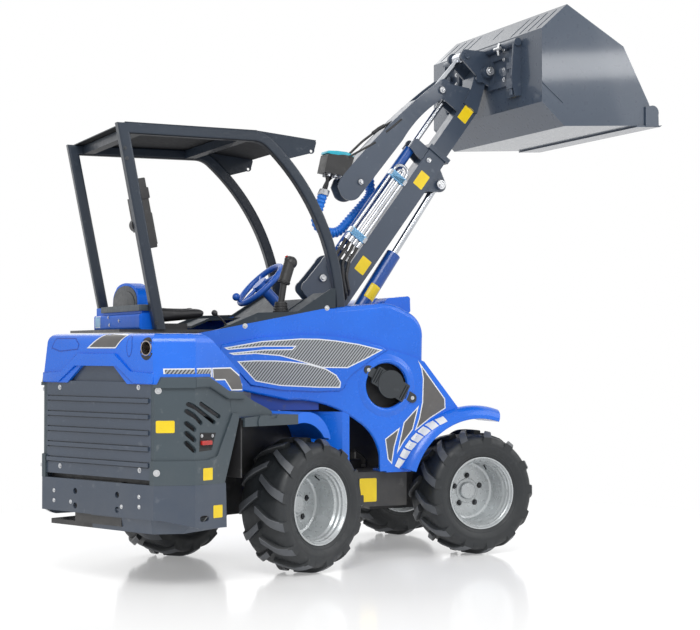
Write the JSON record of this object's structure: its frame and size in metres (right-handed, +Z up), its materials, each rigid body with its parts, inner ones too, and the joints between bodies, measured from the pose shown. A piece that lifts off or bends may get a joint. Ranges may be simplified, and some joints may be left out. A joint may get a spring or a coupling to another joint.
{
  "type": "compact articulated wheel loader",
  "caption": "Compact articulated wheel loader: seat under a roll-over frame and canopy, telescopic boom with a raised bucket, four lugged tyres.",
  "frame": {"origin": "on the ground under the middle of the bounding box", "axes": "+X forward along the front chassis, +Y left, +Z up; the rear chassis is swung to the right"},
  "size_m": [3.075, 1.612, 2.663],
  "materials": {
    "tyre": "lugged black rubber",
    "rim_silver": "silver paint",
    "blue_shell": "gloss blue",
    "blue_rubber": "blue grip",
    "grey_shell": "grey moulding",
    "graphite_paint": "graphite paint",
    "black_paint": "black paint",
    "blue_paint": "blue cylinder paint",
    "chrome_rod": "chrome",
    "exhaust_steel": "bare steel",
    "engine_iron": "cast iron",
    "seat_vinyl": "black vinyl",
    "black_rubber": "black rubber",
    "coupler_paint": "cyan and black coupler",
    "hose_blue": "blue spiral guard"
  },
  "bodies": {
    "front_chassis": {"front_axle": "black_paint", "front_frame": "black_paint", "side_panel_right": "blue_shell", "side_panel_left": "blue_shell", "vent_cover_right": "grey_shell", "vent_cover_left": "grey_shell", "shoulder_right": "blue_shell", "shoulder_left": "blue_shell", "work_lamps": "blue_shell", "platform": "black_paint", "console": "grey_shell", "steering_wheel": "blue_rubber", "joystick": "black_rubber", "belt_reel": "black_rubber", "seat_cushion": "seat_vinyl", "seat_back": "seat_vinyl", "rear_box": "blue_shell", "rollover_frame": "graphite_paint", "canopy": "graphite_paint"},
    "rear_chassis": {"rear_axle": "black_paint", "rear_frame": "black_paint", "engine_block": "engine_iron", "hood": "blue_shell", "radiator_grille": "graphite_paint", "side_cover_right": "grey_shell", "side_cover_left": "grey_shell", "bumper": "graphite_paint", "rear_fender_right": "grey_shell", "rear_fender_left": "grey_shell", "exhaust_pipe": "exhaust_steel"},
    "outer_boom": {"outer_boom": "graphite_paint", "boom_pipes": "chrome_rod", "extend_barrel": "blue_paint", "pipe_hoses": "black_rubber"},
    "inner_boom": {"inner_boom": "graphite_paint", "tilt_arm": "graphite_paint", "coupler_block": "coupler_paint", "extend_rod": "chrome_rod", "hose_guard": "hose_blue", "coupler_hoses": "black_rubber"},
    "tool": {"tool_carrier": "graphite_paint", "bucket": "graphite_paint", "cutting_edge": "graphite_paint"},
    "lift_barrel": {"lift_barrel": "blue_paint"},
    "lift_rod": {"lift_rod": "chrome_rod"},
    "tilt_barrel": {"tilt_barrel": "blue_paint"},
    "tilt_rod": {"tilt_rod": "chrome_rod"},
    "front_left_wheel": {"front_left_tyre": "tyre", "front_left_rim": "rim_silver"},
    "front_right_wheel": {"front_right_tyre": "tyre", "front_right_rim": "rim_silver"},
    "rear_left_wheel": {"rear_left_tyre": "tyre", "rear_left_rim": "rim_silver"},
    "rear_right_wheel": {"rear_right_tyre": "tyre", "rear_right_rim": "rim_silver"}
  },
  "joints": [
    {"name": "steering", "type": "hinge", "parent": "front_chassis", "child": "rear_chassis", "pos_m": [0.04596, 0.22596, 0.34927], "axis": [0, 0, 1], "range_deg": [-69.4, 20.6]},
    {"name": "boom_lift", "type": "hinge", "parent": "front_chassis", "child": "outer_boom", "pos_m": [-0.14405, 0.22596, 1.03427], "axis": [0, -1, 0], "range_deg": [-66, 7]},
    {"name": "boom_extend", "type": "slide", "parent": "outer_boom", "child": "inner_boom", "axis": [0.599, 0, 0.8007], "range_m": [-0.22, 0.38]},
    {"name": "tool_tilt", "type": "hinge", "parent": "inner_boom", "child": "tool", "pos_m": [0.8085, 0.22596, 2.39104], "axis": [0, 1, 0], "range_deg": [-40, 18]},
    {"name": "front_left_wheel_spin", "type": "hinge", "parent": "front_chassis", "child": "front_left_wheel", "pos_m": [0.52795, 0.64946, 0.29427], "axis": [0, 1, 0], "continuous": true},
    {"name": "front_right_wheel_spin", "type": "hinge", "parent": "front_chassis", "child": "front_right_wheel", "pos_m": [0.52795, -0.19754, 0.29427], "axis": [0, 1, 0], "continuous": true},
    {"name": "rear_left_wheel_spin", "type": "hinge", "parent": "rear_chassis", "child": "rear_left_wheel", "pos_m": [-0.81383, 0.30098, 0.29427], "axis": [-0.4131, 0.9107, 0], "continuous": true},
    {"name": "rear_right_wheel_spin", "type": "hinge", "parent": "rear_chassis", "child": "rear_right_wheel", "pos_m": [-0.46393, -0.47037, 0.29427], "axis": [-0.4131, 0.9107, 0], "continuous": true},
    {"name": "lift_barrel_swing", "type": "hinge", "parent": "front_chassis", "child": "lift_barrel", "pos_m": [-0.17305, 0.22596, 0.72527], "axis": [0, -1, 0], "range_deg": [-57.49, 6.54]},
    {"name": "lift_rod_slide", "type": "slide", "parent": "lift_barrel", "child": "lift_rod", "axis": [0.5605, 0, 0.8282], "range_m": [-0.2871, 0.0322]},
    {"name": "tilt_barrel_swing", "type": "hinge", "parent": "inner_boom", "child": "tilt_barrel", "pos_m": [0.12261, 0.22596, 1.8064], "axis": [0, -1, 0], "range_deg": [-2.4, 1.19]},
    {"name": "tilt_rod_slide", "type": "slide", "parent": "tilt_barrel", "child": "tilt_rod", "axis": [0.6574, 0, 0.7535], "range_m": [-0.0868, 0.0402]}
  ],
  "couplings": [
    {"joint": "lift_barrel_swing", "follows": "boom_lift", "ratio": 0.86343},
    {"joint": "lift_rod_slide", "follows": "boom_lift", "m_per_rad": 0.24751},
    {"joint": "tilt_barrel_swing", "follows": "tool_tilt", "ratio": 0.055},
    {"joint": "tilt_rod_slide", "follows": "tool_tilt", "m_per_rad": 0.12145}
  ]
}
